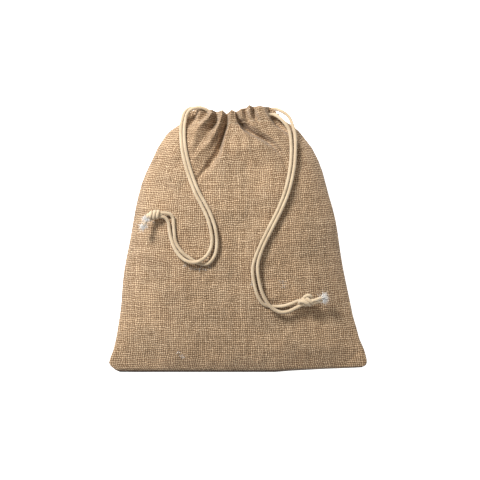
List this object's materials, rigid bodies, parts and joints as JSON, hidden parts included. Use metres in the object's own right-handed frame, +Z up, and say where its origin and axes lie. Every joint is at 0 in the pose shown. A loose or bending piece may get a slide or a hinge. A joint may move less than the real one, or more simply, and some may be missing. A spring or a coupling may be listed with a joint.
{
  "type": "drawstring gift pouch",
  "caption": "Jute drawstring gift pouch lying flat, gathered mouth, paired cotton drawcords tied in overhand knots with frayed ends.",
  "frame": {"origin": "on the surface the pouch lies on, under the middle of its length and width", "axes": "+X to the right across the pouch, +Y from the bottom edge to the mouth, +Z up out of the front cloth"},
  "size_m": [0.2006, 0.2075, 0.0363],
  "materials": {
    "jute_cloth": "coarse plain-weave natural jute",
    "cotton_cord": "round waxed cotton cord, cream",
    "frayed_cotton": "loose white cotton fibres",
    "sewing_thread": "spun thread"
  },
  "bodies": {
    "pouch": {"front_panel": "jute_cloth", "back_panel": "jute_cloth", "left_seam_allowance": "jute_cloth", "right_seam_allowance": "jute_cloth", "bottom_seam_allowance": "jute_cloth", "left_seam_stitches": "sewing_thread", "right_seam_stitches": "sewing_thread", "bottom_seam_stitches": "sewing_thread", "back_casing": "jute_cloth", "left_casing_end": "jute_cloth", "right_casing_end": "jute_cloth", "back_hem_stitches": "sewing_thread", "left_hem_stitches": "sewing_thread", "right_hem_stitches": "sewing_thread", "left_cord_turn": "cotton_cord", "right_cord_turn": "cotton_cord"},
    "mouth_lip": {"front_lip": "jute_cloth", "front_casing": "jute_cloth", "front_hem_stitches": "sewing_thread", "left_cord_front_run": "cotton_cord", "right_cord_front_run": "cotton_cord"},
    "left_pull": {"left_front_strand": "cotton_cord", "left_back_strand": "cotton_cord"},
    "left_tails": {"left_inner_tail": "cotton_cord", "left_outer_tail": "cotton_cord", "left_knot": "cotton_cord", "left_upper_end": "frayed_cotton", "left_lower_end": "frayed_cotton"},
    "right_pull": {"right_front_strand": "cotton_cord", "right_back_strand": "cotton_cord"},
    "right_tails": {"right_inner_tail": "cotton_cord", "right_outer_tail": "cotton_cord", "right_knot": "cotton_cord", "right_upper_end": "frayed_cotton", "right_lower_end": "frayed_cotton"}
  },
  "joints": [
    {"name": "mouth_open", "type": "hinge", "parent": "pouch", "child": "mouth_lip", "pos_m": [0, 0.0609, 0.0289], "axis": [1, 0, 0], "range_deg": [0, 25]},
    {"name": "left_cord_pull", "type": "slide", "parent": "pouch", "child": "left_pull", "axis": [-1, 0, 0], "range_m": [0, 0.012]},
    {"name": "left_tails_lift", "type": "hinge", "parent": "left_pull", "child": "left_tails", "pos_m": [-0.0425, 0.093, 0.0205], "axis": [-1, 0, 0], "range_deg": [0, 90]},
    {"name": "right_cord_pull", "type": "slide", "parent": "pouch", "child": "right_pull", "axis": [1, 0, 0], "range_m": [0, 0.012]},
    {"name": "right_tails_lift", "type": "hinge", "parent": "right_pull", "child": "right_tails", "pos_m": [0.0425, 0.087, 0.0235], "axis": [-1, 0, 0], "range_deg": [0, 90]}
  ]
}
